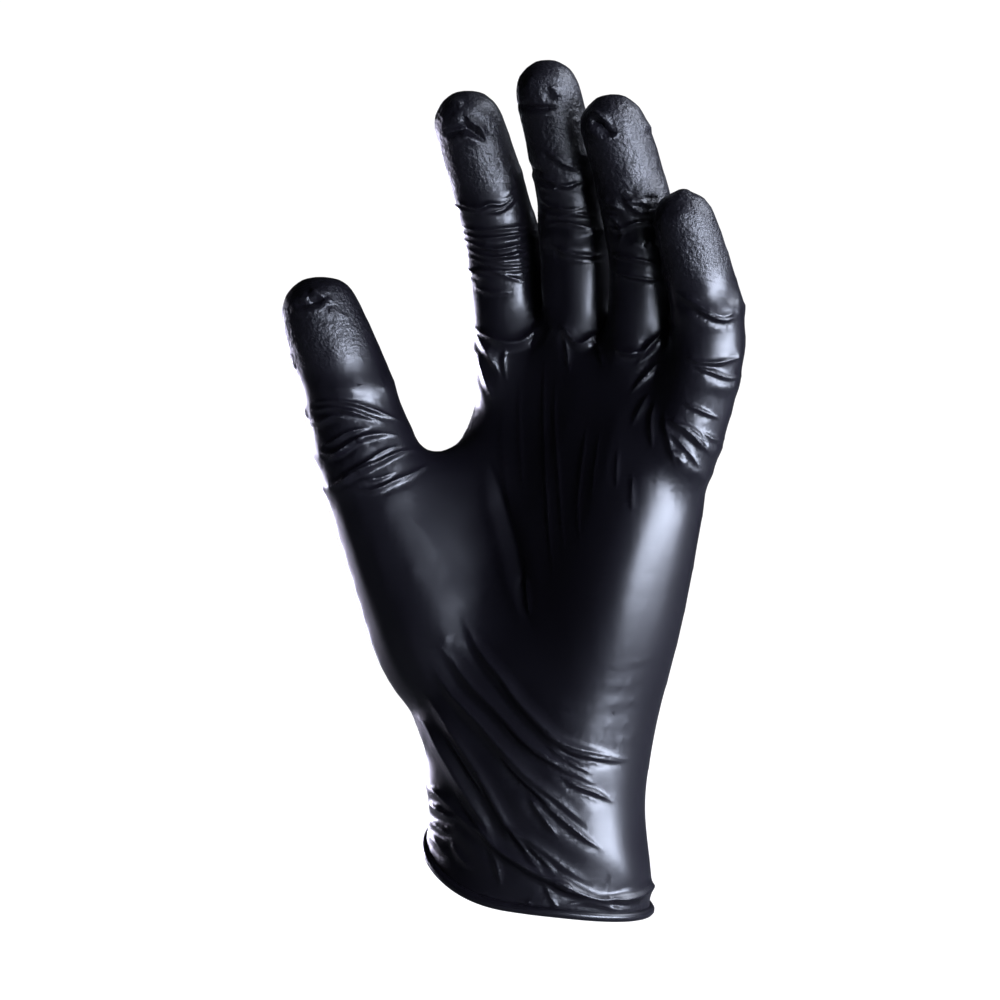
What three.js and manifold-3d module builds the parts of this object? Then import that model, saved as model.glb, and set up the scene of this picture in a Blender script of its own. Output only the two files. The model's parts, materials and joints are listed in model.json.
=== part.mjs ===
// Nitrile exam glove, as it stands when drawn over a half-open left hand.
// Sizes are in millimetres. +Z points from the wrist opening to the fingertips, the palm
// faces -Y and the thumb lies at -X. The origin is the centre of the wrist opening.
// The glove is dipped in one piece, so it is one hollow solid with a rolled rim.
import * as THREE from "three";
import { mergeVertices } from "three/addons/utils/BufferGeometryUtils.js";
import Module from "manifold-3d";

const wasm = await Module();
wasm.setup();

// Film and rolled rim
const wall = 1.2;
const beadRadius = 1.4;
const beadTurns = [-90, -45, 0, 45];
const beadHeight = 2.4 * beadRadius;
// How far the space for the hand runs out below the rim
const mouthDrop = 3 * beadRadius;

// Body of the glove, from the rim to the knuckles
const palmLength = 139;
const palmWidth = 78;
const palmDepth = 46;

// Skin between thumb and palm: its thickness, and how far its edge hangs down
const webThickness = 31;
const webSag = 6;
const webRings = 9;
// Its ends, as shares of the thumb's length, of palmLength and of the way out to the palm's
// side, and how much thinner it is halfway
const web = {
  thumbLow: 0.06, thumbHigh: 0.6, palmLow: 0.28, palmHigh: 0.82, reachLow: 0.42, reachHigh: 0.8, waist: 0.12,
};

// Folds: the height and half width that the tables take shares of
const foldHeight = 1.6;
const foldWidth = 2.6;

// Middle finger from its root in the palm to its tip
const fingerLength = 94;
// Widest of the four fingers, which stand side by side across the palm
const fingerWidth = palmWidth / 3.8;

// Fineness of the skin, and of the smoother lining
const skinCounts = {
  palmSides: 46, palmRings: 25, digitSides: 14, digitRings: 15, domeAngles: [22, 42, 60, 76],
};
const liningCounts = {
  palmSides: 28, palmRings: 12, digitSides: 10, digitRings: 9, domeAngles: [35, 65],
};
// Points closer than this are one
const mergeDistance = 1e-4;

// Palm sections from the rim up. up is a share of palmLength; across and x are shares of
// palmWidth; deep and y of palmDepth. turn is the angle of the long axis about Z in degrees.
// tilt and lean say how far the section falls for each millimetre to +X and to -Y.
const palmSections = [
  { up: 0, across: 0.735, deep: 1, x: -0.005, y: 0, turn: 24, tilt: 0.25, lean: 0.28 },
  { up: 0.105, across: 0.765, deep: 0.97, x: -0.003, y: 0, turn: 25, tilt: 0.5, lean: 0.35 },
  { up: 0.231, across: 0.85, deep: 0.93, x: -0.042, y: 0, turn: 28, tilt: 0.75, lean: 0.4 },
  { up: 0.357, across: 0.82, deep: 0.88, x: -0.036, y: 0.02, turn: 31, tilt: 0.8, lean: 0.4 },
  { up: 0.483, across: 0.85, deep: 0.82, x: 0, y: 0.03, turn: 33, tilt: 0.7, lean: 0.3 },
  { up: 0.609, across: 0.9, deep: 0.77, x: 0.055, y: 0, turn: 34, tilt: 0.6, lean: 0.15 },
  { up: 0.735, across: 0.87, deep: 0.7, x: 0.13, y: -0.04, turn: 35, tilt: 0.5, lean: 0.05 },
  { up: 0.861, across: 0.83, deep: 0.6, x: 0.185, y: -0.06, turn: 35, tilt: 0.5, lean: 0 },
  { up: 0.93, across: 0.78, deep: 0.48, x: 0.2, y: -0.06, turn: 35, tilt: 0.5, lean: 0 },
  { up: 0.97, across: 0.72, deep: 0.38, x: 0.205, y: -0.06, turn: 35, tilt: 0.52, lean: 0 },
  { up: 1, across: 0.62, deep: 0.2, x: 0.21, y: -0.06, turn: 35, tilt: 0.55, lean: 0 },
];

// Relief of the same sections, in shares of palmDepth: the rim's wave, the hollow of the palm
// and the mound below the little finger.
const palmRelief = [
  { up: 0, wave: 0.065, hollow: 0, mound: 0 },
  { up: 0.105, wave: 0.03, hollow: 0, mound: 0 },
  { up: 0.231, wave: 0, hollow: 0, mound: 0.015 },
  { up: 0.357, wave: 0, hollow: 0.03, mound: 0.05 },
  { up: 0.483, wave: 0, hollow: 0.09, mound: 0.09 },
  { up: 0.609, wave: 0, hollow: 0.14, mound: 0.11 },
  { up: 0.735, wave: 0, hollow: 0.14, mound: 0.09 },
  { up: 0.861, wave: 0, hollow: 0.1, mound: 0.03 },
  { up: 0.93, wave: 0, hollow: 0.03, mound: 0 },
  { up: 0.97, wave: 0, hollow: 0, mound: 0 },
  { up: 1, wave: 0, hollow: 0, mound: 0 },
];
// Where the wave, hollow and mound lie, and how wide they are, in degrees round the palm
const waveAround = -30;
const hollowAround = -22;
const hollowSpread = 36;
const moundAround = 50;
const moundSpread = 34;
// Below 1 the sections are squarer than an ellipse
const palmRoundness = 0.88;

// Digits. up and across place the root in the palm, as shares of its length and half width.
// bones run from root to middle joint, end joint and tip, as shares of fingerLength; lean tips
// each bone to +X and reach to -Y, in degrees. girth is the width at root, middle joint, end
// joint and tip, as a share of fingerWidth.
const digits = {
  thumb: {
    up: 0.23, across: -0.41, bones: [0.758, 0.239, 0.302],
    lean: [-24.3, -15.6, -22.2], reach: [0.3, 5.1, 6.1], girth: [2.22, 1.335, 1.17, 1.015],
  },
  index: {
    up: 0.78, across: -0.67, bones: [0.482, 0.237, 0.239],
    lean: [-3.6, -14.4, -17.4], reach: [2.4, 13, 18.1], girth: [0.97, 0.99, 0.96, 0.86],
  },
  middle: {
    up: 0.85, across: -0.17, bones: [0.475, 0.255, 0.26],
    lean: [0.5, -10.6, -14], reach: [2.9, 12.1, 16.1], girth: [0.9, 0.875, 0.85, 0.81],
  },
  ring: {
    up: 0.86, across: 0.31, bones: [0.449, 0.262, 0.228],
    lean: [5.5, -9.9, -18.8], reach: [8.2, 8.4, 16.8], girth: [0.9, 0.885, 0.88, 0.8],
  },
  little: {
    up: 0.74, across: 0.69, bones: [0.514, 0.215, 0.2],
    lean: [16, -9.9, -18.3], reach: [10.9, 11.4, 15.4], girth: [0.96, 0.93, 0.84, 0.7],
  },
};

// Each digit narrows to its root: by this share, over this share of its width
const rootTaper = 0.4;
const rootTaperLength = 0.7;

// Folds that run round a digit. at is a share of the way from root to tip; slant lifts the
// fold's little finger side and dip its palm side, in degrees; around is where the fold is
// highest and spread how far it runs to each side, in degrees from the palm side towards +X;
// rise and width are shares of foldHeight and foldWidth. A negative rise is a dent.
const digitFolds = {
  thumb: [
    { at: 0.6, slant: 14, dip: -10, around: 0, spread: 120, rise: 1.0, width: 1.0 },
    { at: 0.655, slant: 8, dip: -6, around: -20, spread: 130, rise: 0.9, width: 0.9 },
    { at: 0.71, slant: -8, dip: -4, around: -40, spread: 130, rise: 0.8, width: 0.8 },
    { at: 0.755, slant: -14, dip: 0, around: 10, spread: 90, rise: 0.7, width: 0.8 },
    { at: 0.925, slant: 8, dip: 8, around: 0, spread: 70, rise: -0.7, width: 1.2 },
  ],
  index: [
    { at: 0.27, slant: 18, dip: -12, around: 0, spread: 100, rise: 0.8, width: 1.2 },
    { at: 0.45, slant: -14, dip: -8, around: -30, spread: 100, rise: 0.7, width: 0.9 },
    { at: 0.53, slant: 4, dip: -8, around: 0, spread: 100, rise: 0.9, width: 0.9 },
    { at: 0.59, slant: 8, dip: -8, around: 0, spread: 100, rise: 0.8, width: 0.8 },
    { at: 0.7, slant: 10, dip: -10, around: 0, spread: 100, rise: 1.0, width: 0.9 },
    { at: 0.9, slant: 0, dip: 8, around: -20, spread: 70, rise: -0.7, width: 1.2 },
  ],
  middle: [
    { at: 0.25, slant: -10, dip: -12, around: 0, spread: 100, rise: 0.8, width: 1.2 },
    { at: 0.52, slant: 2, dip: -6, around: 0, spread: 100, rise: 0.9, width: 1.0 },
    { at: 0.6, slant: 10, dip: -6, around: -20, spread: 100, rise: 0.7, width: 0.9 },
    { at: 0.67, slant: 8, dip: -8, around: 0, spread: 100, rise: 0.8, width: 0.9 },
    { at: 0.74, slant: -14, dip: -6, around: 10, spread: 100, rise: 0.9, width: 0.9 },
    { at: 0.9, slant: -4, dip: 8, around: -20, spread: 70, rise: -0.6, width: 1.2 },
  ],
  ring: [
    { at: 0.28, slant: 18, dip: -12, around: 10, spread: 100, rise: 0.8, width: 1.2 },
    { at: 0.5, slant: -4, dip: -6, around: 0, spread: 100, rise: 0.8, width: 0.9 },
    { at: 0.57, slant: -6, dip: -6, around: -20, spread: 100, rise: 0.8, width: 0.9 },
    { at: 0.64, slant: -12, dip: -6, around: -30, spread: 100, rise: 0.8, width: 0.8 },
    { at: 0.71, slant: -8, dip: -10, around: 0, spread: 100, rise: 1.1, width: 1.1 },
    { at: 0.92, slant: -10, dip: 8, around: -30, spread: 70, rise: -0.8, width: 1.2 },
  ],
  little: [
    { at: 0.24, slant: -26, dip: -8, around: 10, spread: 100, rise: 1.0, width: 1.0 },
    { at: 0.31, slant: -20, dip: -6, around: 20, spread: 100, rise: 0.8, width: 0.9 },
    { at: 0.47, slant: -8, dip: -6, around: 20, spread: 100, rise: 0.8, width: 0.9 },
    { at: 0.53, slant: 4, dip: -6, around: 20, spread: 100, rise: 0.6, width: 0.8 },
    { at: 0.66, slant: -8, dip: -8, around: 10, spread: 100, rise: 0.9, width: 0.9 },
  ],
};

// Folds of the palm that follow a section: the pulled film of the wrist. up is the section,
// around and spread are degrees from the palm side towards the little finger.
const wristFolds = [
  { up: 0.089, around: 10, spread: 120, rise: 1.0, width: 1.2 },
  { up: 0.158, around: -28, spread: 62, rise: 1.0, width: 1.1 },
  { up: 0.21, around: -6, spread: 60, rise: 0.9, width: 1.0 },
  { up: 0.263, around: -20, spread: 66, rise: 1.1, width: 1.1 },
  { up: 0.32, around: 4, spread: 64, rise: 1.0, width: 1.1 },
  { up: 0.373, around: 2, spread: 70, rise: 1.1, width: 1.1 },
  { up: 0.43, around: 0, spread: 66, rise: 1.2, width: 1.2 },
];

// Folds of the palm that run up to the fingers. around is their place and width their half
// width, in degrees; from and to are shares of palmLength; rise is a share of foldHeight.
const palmRibs = [
  { around: -46, from: 0.651, to: 0.945, rise: 0.7, width: 7 },
  { around: -22, from: 0.588, to: 0.966, rise: 0.8, width: 6 },
  { around: 2, from: 0.546, to: 0.966, rise: 0.9, width: 6 },
  { around: 26, from: 0.63, to: 0.966, rise: 0.8, width: 6 },
  { around: 50, from: 0.735, to: 0.987, rise: 0.7, width: 7 },
];

const radians = THREE.MathUtils.degToRad;

// Angle from one direction to another round a limb, from 0 to 180 degrees.
function angleBetween(around, other) {
  const turn = Math.abs(around - other) % 360;
  return Math.min(turn, 360 - turn);
}

// Share of a soft dent or swell at an angle round the palm, from 1 at its middle.
function bell(around, middle, spread) {
  return Math.exp(-((angleBetween(around, middle) / spread) ** 2));
}

// Share from 1 at the middle of a fold to 0 at its ends, for an angle round the limb.
function spreadShare(fold, around) {
  const away = angleBetween(around, fold.around);
  return away < fold.spread ? Math.cos((Math.PI / 2) * (away / fold.spread)) : 0;
}

// Height of all folds at a distance along a limb and an angle round it.
function foldRise(folds, distance, around) {
  return folds.reduce((sum, fold) => {
    const ridge = Math.max(0, 1 - Math.abs(distance - fold.distance) / (fold.width * foldWidth));
    return sum + ridge * spreadShare(fold, around) * fold.rise * foldHeight;
  }, 0);
}

// Height of the ribs that run up the palm.
function ribRise(up, around) {
  return palmRibs.reduce((sum, rib) => {
    const along = (up - rib.from) / (rib.to - rib.from);
    const lengthShare = along > 0 && along < 1 ? Math.sin(Math.PI * along) : 0;
    const widthShare = Math.max(0, 1 - angleBetween(around, rib.around) / rib.width);
    return sum + lengthShare * widthShare * rib.rise * foldHeight;
  }, 0);
}

// Distances for a limb's rings: even steps, with a ring on each fold's crest and two feet.
// No two rings stand closer than a quarter of a step.
function ringPlaces(start, end, count, folds) {
  const step = (end - start) / count;
  const closest = step / 4;
  const crests = folds.map((fold) => fold.distance);
  const feet = folds.flatMap((fold) =>
    [-1, 1].map((side) => fold.distance + side * fold.width * foldWidth),
  );
  const even = Array.from({ length: count - 1 }, (_, place) => start + step * (place + 1));
  const kept = [start, end];
  for (const place of [...crests, ...feet, ...even]) {
    const clear = kept.every((other) => Math.abs(other - place) > closest);
    if (place > start && place < end && clear) {
      kept.push(place);
    }
  }
  return kept.sort((low, high) => low - high);
}

// Value of a table's column at a share of the way up, eased between rows.
function columnAt(rows, column, up) {
  const last = rows.length - 1;
  if (up <= rows[0].up) return rows[0][column];
  if (up >= rows[last].up) return rows[last][column];
  const above = rows.findIndex((row) => row.up >= up);
  const from = rows[above - 1];
  const to = rows[above];
  const before = rows[Math.max(above - 2, 0)];
  const after = rows[Math.min(above + 1, last)];
  const span = to.up - from.up;
  const share = (up - from.up) / span;
  const slopeFrom = ((to[column] - before[column]) / (to.up - before.up)) * span;
  const slopeTo = ((after[column] - from[column]) / (after.up - from.up)) * span;
  const rise = to[column] - from[column];
  const bend = 3 * rise - 2 * slopeFrom - slopeTo;
  const turn = slopeFrom + slopeTo - 2 * rise;
  return from[column] + share * (slopeFrom + share * (bend + share * turn));
}

// Point of the palm. around is in degrees from the palm side towards the little finger, reach
// the share of the way out to the skin, grow an extra distance outwards and lift one upwards.
function palmPoint(up, around, reach = 1, grow = 0, lift = 0) {
  const at = (column) => columnAt(palmSections, column, up);
  const turn = radians(at("turn"));
  const relief = (column) => columnAt(palmRelief, column, up) * palmDepth;
  const dent = relief("hollow") * bell(around, hollowAround, hollowSpread);
  const swell = relief("mound") * bell(around, moundAround, moundSpread);
  const boxy = (value) => Math.sign(value) * Math.abs(value) ** palmRoundness;
  const halfWidth = (at("across") * palmWidth) / 2 + grow;
  const halfDepth = (at("deep") * palmDepth) / 2 + grow;
  const side = boxy(Math.sin(radians(around))) * halfWidth * reach;
  const front = (boxy(Math.cos(radians(around))) * halfDepth - dent + swell) * reach;
  const wave = relief("wave") * Math.cos(2 * radians(around - waveAround));
  const x = side * Math.cos(turn) - front * Math.sin(turn);
  const y = -side * Math.sin(turn) - front * Math.cos(turn);
  return new THREE.Vector3(
    at("x") * palmWidth + x,
    at("y") * palmDepth + y,
    up * palmLength - x * at("tilt") + y * at("lean") - wave + lift,
  );
}

function average(points) {
  const sum = points.reduce((total, point) => total.add(point), new THREE.Vector3());
  return sum.divideScalar(points.length);
}

// Closed skin over a stack of rings, with its last point at the tip.
function loft(rings, tip = average(rings.at(-1))) {
  const sides = rings[0].length;
  const points = [average(rings[0]), ...rings.flat(), tip];
  const faces = [];
  for (let side = 0; side < sides; side += 1) {
    const next = (side + 1) % sides;
    faces.push(0, 1 + next, 1 + side);
    for (let ring = 0; ring < rings.length - 1; ring += 1) {
      const low = 1 + ring * sides;
      const high = low + sides;
      faces.push(low + side, low + next, high + next, low + side, high + next, high + side);
    }
    const top = 1 + (rings.length - 1) * sides;
    faces.push(points.length - 1, top + side, top + next);
  }
  const geometry = new THREE.BufferGeometry().setFromPoints(points);
  geometry.setIndex(faces);
  return geometry;
}

function toSolid(geometry) {
  const merged = mergeVertices(geometry, mergeDistance);
  return new wasm.Manifold(
    new wasm.Mesh({
      numProp: 3,
      vertProperties: merged.attributes.position.array,
      triVerts: new Uint32Array(merged.index.array),
    }),
  );
}

function toGeometry(solid) {
  const mesh = solid.getMesh();
  const geometry = new THREE.BufferGeometry();
  geometry.setAttribute("position", new THREE.BufferAttribute(mesh.vertProperties, 3));
  geometry.setIndex(new THREE.BufferAttribute(mesh.triVerts, 1));
  return geometry;
}

// Body of the glove. With an inset it is the space inside, which runs out through the rim.
function palmSolid(inset, counts) {
  const lining = inset > 0;
  const sides = counts.palmSides;
  const folds = lining
    ? []
    : wristFolds.map((fold) => ({ ...fold, distance: fold.up * palmLength }));
  const angles = Array.from({ length: sides }, (_, side) => (360 * side) / sides);
  const ring = (up, grow, lift) => angles.map((around) => palmPoint(up, around, 1, grow, lift));
  const rings = [];
  if (lining) {
    rings.push(ring(0, -inset, -mouthDrop));
  } else {
    for (const turn of beadTurns) {
      const out = beadRadius - wall + beadRadius * Math.cos(radians(turn));
      rings.push(ring(0, out, beadRadius * (1 + Math.sin(radians(turn)))));
    }
  }
  const start = lining ? 0 : beadHeight;
  const end = palmLength - 2 * inset;
  for (const distance of ringPlaces(start, end, counts.palmRings, folds)) {
    const up = distance / palmLength;
    const riseAt = (around) => foldRise(folds, distance, around) + ribRise(up, around);
    rings.push(angles.map((around) => palmPoint(up, around, 1, lining ? -inset : riseAt(around))));
  }
  return toSolid(loft(rings));
}

// Joints of a digit from its root to its tip.
function jointsOf(digit) {
  const joints = [palmPoint(digit.up, Math.sign(digit.across) * 90, Math.abs(digit.across))];
  digit.bones.forEach((length, bone) => {
    const lean = radians(digit.lean[bone]);
    const reach = radians(digit.reach[bone]);
    const along = new THREE.Vector3(
      Math.sin(lean) * Math.cos(reach),
      -Math.sin(reach),
      Math.cos(lean) * Math.cos(reach),
    );
    joints.push(joints[bone].clone().addScaledVector(along, length * fingerLength));
  });
  return joints;
}

// Girths of a digit's joints against their share of the way up it.
function girthRowsOf(digit) {
  const boneSum = digit.bones.reduce((sum, bone) => sum + bone, 0);
  let reached = 0;
  return digit.girth.map((girth, joint) => {
    const up = reached / boneSum;
    reached += digit.bones[joint] ?? 0;
    return { up, girth };
  });
}

// Directions across a digit's path: front to the palm side, right to the little finger side.
function frameAt(path, share) {
  const tangent = path.getTangentAt(share);
  const front = new THREE.Vector3(0, -1, 0).addScaledVector(tangent, tangent.y).normalize();
  return { tangent, front, right: new THREE.Vector3().crossVectors(tangent, front) };
}

// Digit as a closed skin along its bones, or the space inside it.
function digitSolid(name, inset, counts) {
  const digit = digits[name];
  const lining = inset > 0;
  const path = new THREE.CatmullRomCurve3(jointsOf(digit));
  const length = path.getLength();
  const girthRows = girthRowsOf(digit);
  const folds = digitFolds[name]
    .filter((fold) => !lining || fold.rise < 0)
    .map((fold) => ({ ...fold, distance: fold.at * length }));
  const level = { slant: 0, dip: 0 };
  const slants = [
    { ...level, up: 0 },
    ...folds.map((fold) => ({ ...fold, up: fold.at })),
    { ...level, up: 1 },
  ];
  const dome = (fingerWidth * digit.girth.at(-1)) / 2 - inset;
  const domeStart = length - inset - dome;

  const ringAt = (distance, share) => {
    const along = Math.min(distance / length, 1);
    const centre = path.getPointAt(along);
    const { tangent, front, right } = frameAt(path, along);
    const radius = (columnAt(girthRows, "girth", along) * fingerWidth) / 2 - inset;
    const slant = Math.tan(radians(columnAt(slants, "slant", along)));
    const dip = Math.tan(radians(columnAt(slants, "dip", along)));
    return Array.from({ length: counts.digitSides }, (_, side) => {
      const around = (360 * side) / counts.digitSides;
      const sine = Math.sin(radians(around));
      const cosine = Math.cos(radians(around));
      const out = (radius + foldRise(folds, distance, around)) * share;
      return centre
        .clone()
        .addScaledVector(front, out * cosine)
        .addScaledVector(right, out * sine)
        .addScaledVector(tangent, out * (slant * sine + dip * cosine) * share);
    });
  };

  const taper = rootTaperLength * digit.girth[0] * fingerWidth;
  const rootShare = (distance) => 1 - rootTaper * Math.max(0, 1 - distance / taper) ** 2;
  const rings = ringPlaces(0, domeStart, counts.digitRings, folds).map((distance) =>
    ringAt(distance, rootShare(distance)),
  );
  for (const turn of counts.domeAngles) {
    rings.push(ringAt(domeStart + dome * Math.sin(radians(turn)), Math.cos(radians(turn))));
  }
  return toSolid(loft(rings, path.getPointAt((length - inset) / length)));
}

// Skin that bridges thumb and forefinger: an arch from low and high points of one to the other.
function webSolid(inset, counts) {
  const sides = counts.digitSides;
  const thumb = new THREE.CatmullRomCurve3(jointsOf(digits.thumb));
  const low = [thumb.getPointAt(web.thumbLow), palmPoint(web.palmLow, -90, web.reachLow)];
  const high = [thumb.getPointAt(web.thumbHigh), palmPoint(web.palmHigh, -90, web.reachHigh)];
  const rings = Array.from({ length: webRings }, (_, step) => {
    const share = step / (webRings - 1);
    const bottom = low[0].clone().lerp(low[1], share);
    const top = high[0].clone().lerp(high[1], share);
    const sag = 4 * share * (1 - share);
    top.z -= sag * webSag;
    const across = high[1].clone().sub(high[0]);
    const up = top.clone().sub(bottom);
    const out = new THREE.Vector3().crossVectors(up, across).normalize();
    const half = (webThickness / 2) * (1 - web.waist * sag) - inset;
    const tall = up.length() / 2 - inset;
    up.normalize();
    const centre = top.add(bottom).divideScalar(2);
    return Array.from({ length: sides }, (_, side) => {
      const angle = (2 * Math.PI * side) / sides;
      return centre
        .clone()
        .addScaledVector(out, half * Math.cos(angle))
        .addScaledVector(up, tall * Math.sin(angle));
    });
  });
  return toSolid(loft(rings));
}

function gloveForm(inset, counts) {
  return [
    palmSolid(inset, counts),
    webSolid(inset, counts),
    ...Object.keys(digits).map((name) => digitSolid(name, inset, counts)),
  ].reduce((whole, piece) => whole.add(piece));
}

const skin = gloveForm(0, skinCounts);
const handSpace = gloveForm(wall, liningCounts);

const glove = new THREE.Mesh(
  toGeometry(skin.subtract(handSpace)),
  new THREE.MeshStandardMaterial({ color: 0x0b0a0f, roughness: 0.35, metalness: 0 }),
);
glove.name = "glove";

const group = new THREE.Group();
group.add(glove);
export default group;
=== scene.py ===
import json
import math

import bmesh
import bpy
import numpy as np
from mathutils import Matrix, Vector

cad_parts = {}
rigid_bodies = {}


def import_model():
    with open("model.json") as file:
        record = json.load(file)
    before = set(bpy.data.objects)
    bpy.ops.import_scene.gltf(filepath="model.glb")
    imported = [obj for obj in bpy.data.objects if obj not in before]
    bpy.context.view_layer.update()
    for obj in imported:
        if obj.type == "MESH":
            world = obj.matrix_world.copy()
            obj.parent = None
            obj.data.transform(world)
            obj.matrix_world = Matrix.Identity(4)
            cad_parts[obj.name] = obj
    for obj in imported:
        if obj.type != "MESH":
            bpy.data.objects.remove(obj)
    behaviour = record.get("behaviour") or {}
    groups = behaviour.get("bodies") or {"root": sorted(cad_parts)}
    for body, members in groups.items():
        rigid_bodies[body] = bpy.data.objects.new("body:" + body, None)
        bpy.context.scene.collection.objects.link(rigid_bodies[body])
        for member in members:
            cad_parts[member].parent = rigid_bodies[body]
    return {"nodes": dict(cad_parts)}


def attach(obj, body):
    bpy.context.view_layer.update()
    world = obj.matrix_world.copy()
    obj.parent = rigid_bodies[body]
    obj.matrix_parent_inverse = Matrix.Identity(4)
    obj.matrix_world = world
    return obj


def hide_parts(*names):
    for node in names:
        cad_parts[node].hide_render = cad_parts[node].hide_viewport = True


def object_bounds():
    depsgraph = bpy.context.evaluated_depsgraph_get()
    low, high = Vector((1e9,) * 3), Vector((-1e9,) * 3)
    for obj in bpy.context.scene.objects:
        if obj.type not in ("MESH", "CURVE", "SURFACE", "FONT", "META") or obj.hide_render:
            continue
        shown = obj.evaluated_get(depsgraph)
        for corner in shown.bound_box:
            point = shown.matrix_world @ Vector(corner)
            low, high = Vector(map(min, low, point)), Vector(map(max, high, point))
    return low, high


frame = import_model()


def asLists(corners):
    return [[round(value, 6) for value in corner] for corner in corners]


cadBounds = asLists(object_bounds())
mm = 0.001
scene = bpy.context.scene


def pickOnly(piece):
    bpy.ops.object.select_all(action="DESELECT")
    piece.select_set(True)
    bpy.context.view_layer.objects.active = piece


def startEdit(piece, kind, action="SELECT"):
    # edit mode for points, edges or faces, with all or none of them selected
    pickOnly(piece)
    bpy.ops.object.mode_set(mode="EDIT")
    bpy.ops.mesh.select_mode(type=kind)
    bpy.ops.mesh.select_all(action=action)


def endEdit():
    bpy.ops.object.mode_set(mode="OBJECT")


def selectOpenEdges():
    bpy.ops.mesh.select_non_manifold(
        extend=False, use_wire=False, use_multi_face=False, use_non_contiguous=False, use_verts=False)


def joinTo(piece, other):
    pickOnly(piece)
    other.select_set(True)
    bpy.ops.object.join()


def pointsOf(piece):
    flat = np.empty(len(piece.data.vertices) * 3)
    piece.data.vertices.foreach_get("co", flat)
    return flat.reshape(-1, 3)


def normalsOf(piece):
    flat = np.empty(len(piece.data.vertices) * 3)
    piece.data.vertices.foreach_get("normal", flat)
    return flat.reshape(-1, 3)


def edgesOf(piece):
    flat = np.empty(len(piece.data.edges) * 2, int)
    piece.data.edges.foreach_get("vertices", flat)
    return flat.reshape(-1, 2)


def setPoints(piece, points):
    piece.data.vertices.foreach_set("co", points.ravel())
    piece.data.update()


def ease(values, low, high):
    share = np.clip((values - low) / (high - low), 0, 1)
    return share * share * (3 - 2 * share)


# Camera: the view the glove was pictured from
cameraSetup = {"place": (-0.01026, -0.750, 0.09872), "lens": 103.9, "sensor": 36, "farthest": 50}
imageSize = 1000
pixelsPerUnit = imageSize * cameraSetup["lens"] / cameraSetup["sensor"]

bpy.ops.object.camera_add(location=cameraSetup["place"], rotation=(math.radians(90), 0, 0))
camera = bpy.context.object
camera.data.lens = cameraSetup["lens"]
camera.data.sensor_width = cameraSetup["sensor"]
camera.data.clip_end = cameraSetup["farthest"]
scene.camera = camera


def pictureOf(points):
    # a point's place in the picture, in pixels from the top left
    away = points[:, 1] - cameraSetup["place"][1]
    across = imageSize / 2 + pixelsPerUnit * (points[:, 0] - cameraSetup["place"][0]) / away
    down = imageSize / 2 - pixelsPerUnit * (points[:, 2] - cameraSetup["place"][2]) / away
    return np.column_stack([across, down])


print("camera placed")

# Film: the dipped glove, from the CAD form
film = {
    "weld": 0.01 * mm,
    "rimBand": 14 * mm,
    "rimAngle": 60,
    "skirtTop": 3.5 * mm,
    "skirt": 14 * mm,
    "voxel": 2.2 * mm,
    "relaxRounds": 12,
    "rimCut": 1.5 * mm,
    "rimWeld": 0.2 * mm,
    "wall": 1.1 * mm,
}
# Heights up to which the rim is fully brought level, and above which nothing moves
levelling = {"full": 20 * mm, "none": 60 * mm, "rounds": 6}
# Middle lines of the fingers, in mm, and how far each is moved aside while the film is meshed
fingerLines = {
    "thumb": {
        "line": [(-15.1, 7, 43.3), (-44.6, 6, 108.4), (-50.6, 4, 129.9), (-61.3, 1, 156.1)],
        "aside": 0,
    },
    "index": {
        "line": [(-5.9, 13.5, 118), (-9.3, 8.8, 163), (-14.7, 3.8, 184), (-21.1, -3.2, 204.4)],
        "aside": -4.2,
    },
    "middle": {
        "line": [(9.9, 3.4, 120), (10, -1.8, 165), (5.7, -6.8, 188), (0, -13.6, 210.8)],
        "aside": -1.4,
    },
    "ring": {
        "line": [(23.4, -6, 116), (26.6, -14.6, 157), (22.4, -18.2, 181), (15.8, -24.4, 200.4)],
        "aside": 1.4,
    },
    "little": {
        "line": [(35.8, -19.2, 115.2), (42.2, -25, 138.5), (38.8, -29, 158), (33.1, -34, 175.2)],
        "aside": 4.2,
    },
}
# The move starts and is complete at these lengths along a finger. A finger whose middle line a
# point faces isn't its own, and counts as farther away by wrongSide.
parting = {"start": 6 * mm, "full": 34 * mm, "wrongSide": 20 * mm}
asideWay = np.array([0.82, -0.57, 0.0])
farAway = 1e9
# Each round draws points half way to their neighbours' mean and then a little farther back, which
# keeps the size
evening = {"push": 0.5, "pull": -0.53}


def nearestOnLine(points, line):
    # distance to a broken line, the nearest point of it, and the length along it
    best = np.full(len(points), farAway)
    foot = np.zeros_like(points)
    along = np.zeros(len(points))
    reached = 0.0
    for start, end in zip(line[:-1], line[1:]):
        way = end - start
        length = np.linalg.norm(way)
        share = np.clip(((points - start) @ way) / length ** 2, 0, 1)
        spot = start + share[:, None] * way
        gap = np.linalg.norm(points - spot, axis=1)
        closer = gap < best
        best[closer] = gap[closer]
        foot[closer] = spot[closer]
        along[closer] = reached + share[closer] * length
        reached += length
    return best, foot, along


def moveFingers(points, normals, way):
    # way 1 moves the fingers apart, way -1 moves them back
    bestGap = np.full(len(points), farAway)
    moves = np.zeros(len(points))
    for finger in fingerLines.values():
        line = np.array(finger["line"]) * mm
        rise = ease(np.arange(len(line)), 0, 1)[:, None]
        shifted = line + (rise * finger["aside"] * mm * asideWay if way < 0 else 0)
        gap, foot, along = nearestOnLine(points, shifted)
        outward = np.einsum("ij,ij->i", points - foot, normals)
        gap = gap + np.where(outward < 0, parting["wrongSide"], 0)
        closer = gap < bestGap
        bestGap[closer] = gap[closer]
        share = ease(along, parting["start"], parting["full"])
        moves[closer] = (share * finger["aside"] * mm)[closer]
    return points + way * moves[:, None] * asideWay


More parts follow.
